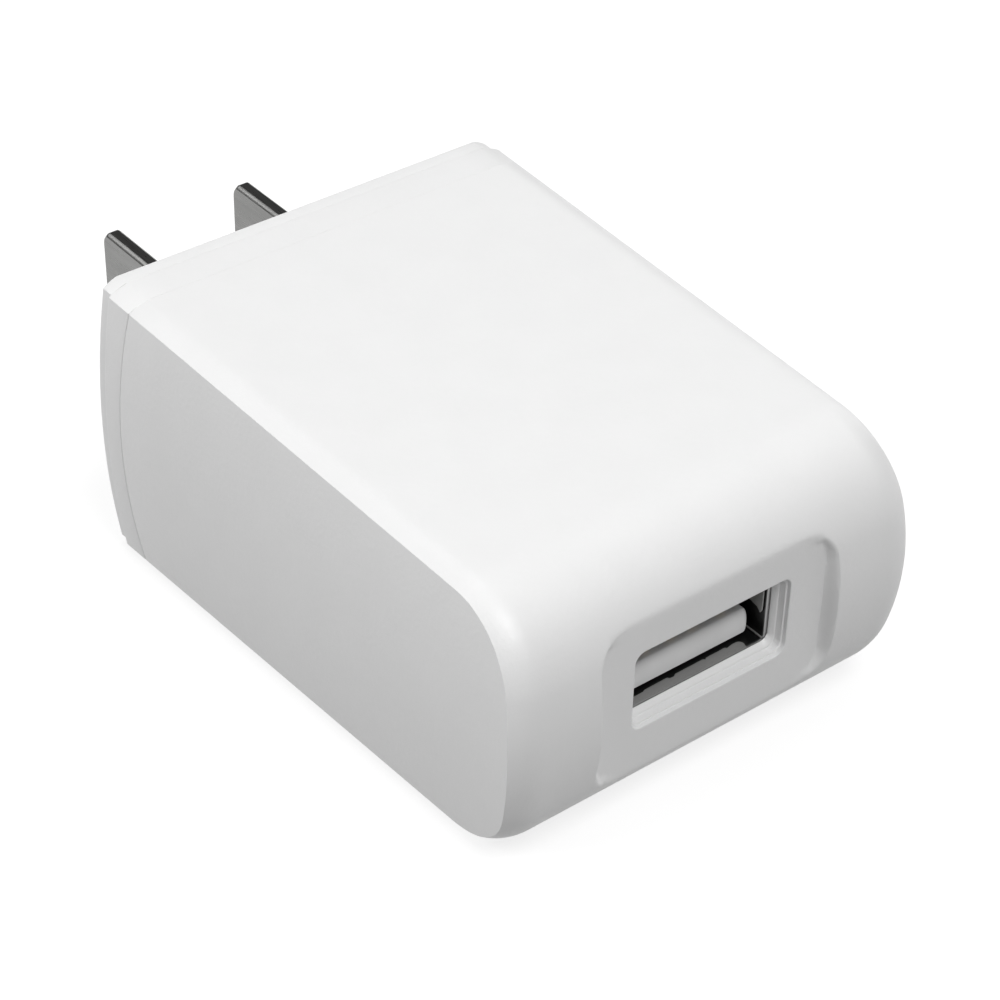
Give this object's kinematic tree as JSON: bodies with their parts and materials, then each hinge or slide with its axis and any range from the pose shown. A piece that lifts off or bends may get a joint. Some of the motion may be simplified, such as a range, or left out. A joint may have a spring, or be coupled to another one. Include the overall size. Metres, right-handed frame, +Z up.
{
  "type": "usb wall charger",
  "caption": "Mains wall charger with fixed flat blades, a bullnose front and a recessed USB-A port, opened up as separate inner and outer pieces.",
  "frame": {"origin": "centre of the flat wall face, midway between the two blades", "axes": "+X across the width, +Y out of the wall face along the blades, +Z up with the charger lying on a large face"},
  "size_m": [0.0382, 0.0684, 0.0244],
  "materials": {
    "housing_plastic": "finely textured white polycarbonate",
    "blade_metal": "nickel-plated brass, brushed along its length",
    "shell_metal": "nickel-plated sheet steel",
    "tongue_plastic": "smooth light grey moulded plastic",
    "contact_metal": "gold-flashed phosphor bronze",
    "wire_insulation": "smooth red lead insulation",
    "insulating_film": "thin milky insulating film",
    "board_laminate": "green solder-masked laminate",
    "ferrite": "ground dark grey ferrite",
    "bobbin_plastic": "black moulded coil former",
    "winding_tape": "yellow polyester tape over the winding",
    "can_sleeve": "aluminium can in a dark shrink sleeve",
    "choke_sleeve": "ferrite drum in a black sleeve",
    "resistor_coat": "pale green lacquer on a ceramic body",
    "disc_epoxy": "blue epoxy-dipped ceramic disc",
    "chip_epoxy": "black moulded epoxy",
    "chip_ceramic": "tan ceramic with tinned ends"
  },
  "bodies": {
    "root": {"front_housing": "housing_plastic", "back_cover": "housing_plastic", "blade_retainer": "housing_plastic", "blade_left": "blade_metal", "blade_right": "blade_metal", "usb_shell": "shell_metal", "usb_insulator": "tongue_plastic", "usb_contact_1": "contact_metal", "usb_contact_2": "contact_metal", "usb_contact_3": "contact_metal", "usb_contact_4": "contact_metal", "blade_wire_left": "wire_insulation", "blade_wire_right": "wire_insulation", "insulation_sheet": "insulating_film", "main_board": "board_laminate", "transformer_core_front": "ferrite", "transformer_core_rear": "ferrite", "transformer_bobbin": "bobbin_plastic", "transformer_winding": "winding_tape", "input_capacitor_1": "can_sleeve", "input_capacitor_2": "can_sleeve", "output_capacitor_1": "can_sleeve", "output_capacitor_2": "can_sleeve", "input_choke": "choke_sleeve", "fusible_resistor": "resistor_coat", "safety_capacitor": "disc_epoxy", "bridge_rectifier": "chip_epoxy", "controller_chip": "chip_epoxy", "port_chip": "chip_epoxy", "output_rectifier": "chip_epoxy", "chip_resistor_1": "chip_epoxy", "chip_resistor_2": "chip_epoxy", "chip_resistor_3": "chip_epoxy", "chip_resistor_4": "chip_epoxy", "chip_capacitor_1": "chip_ceramic", "chip_capacitor_2": "chip_ceramic", "chip_capacitor_3": "chip_ceramic"}
  },
  "joints": []
}
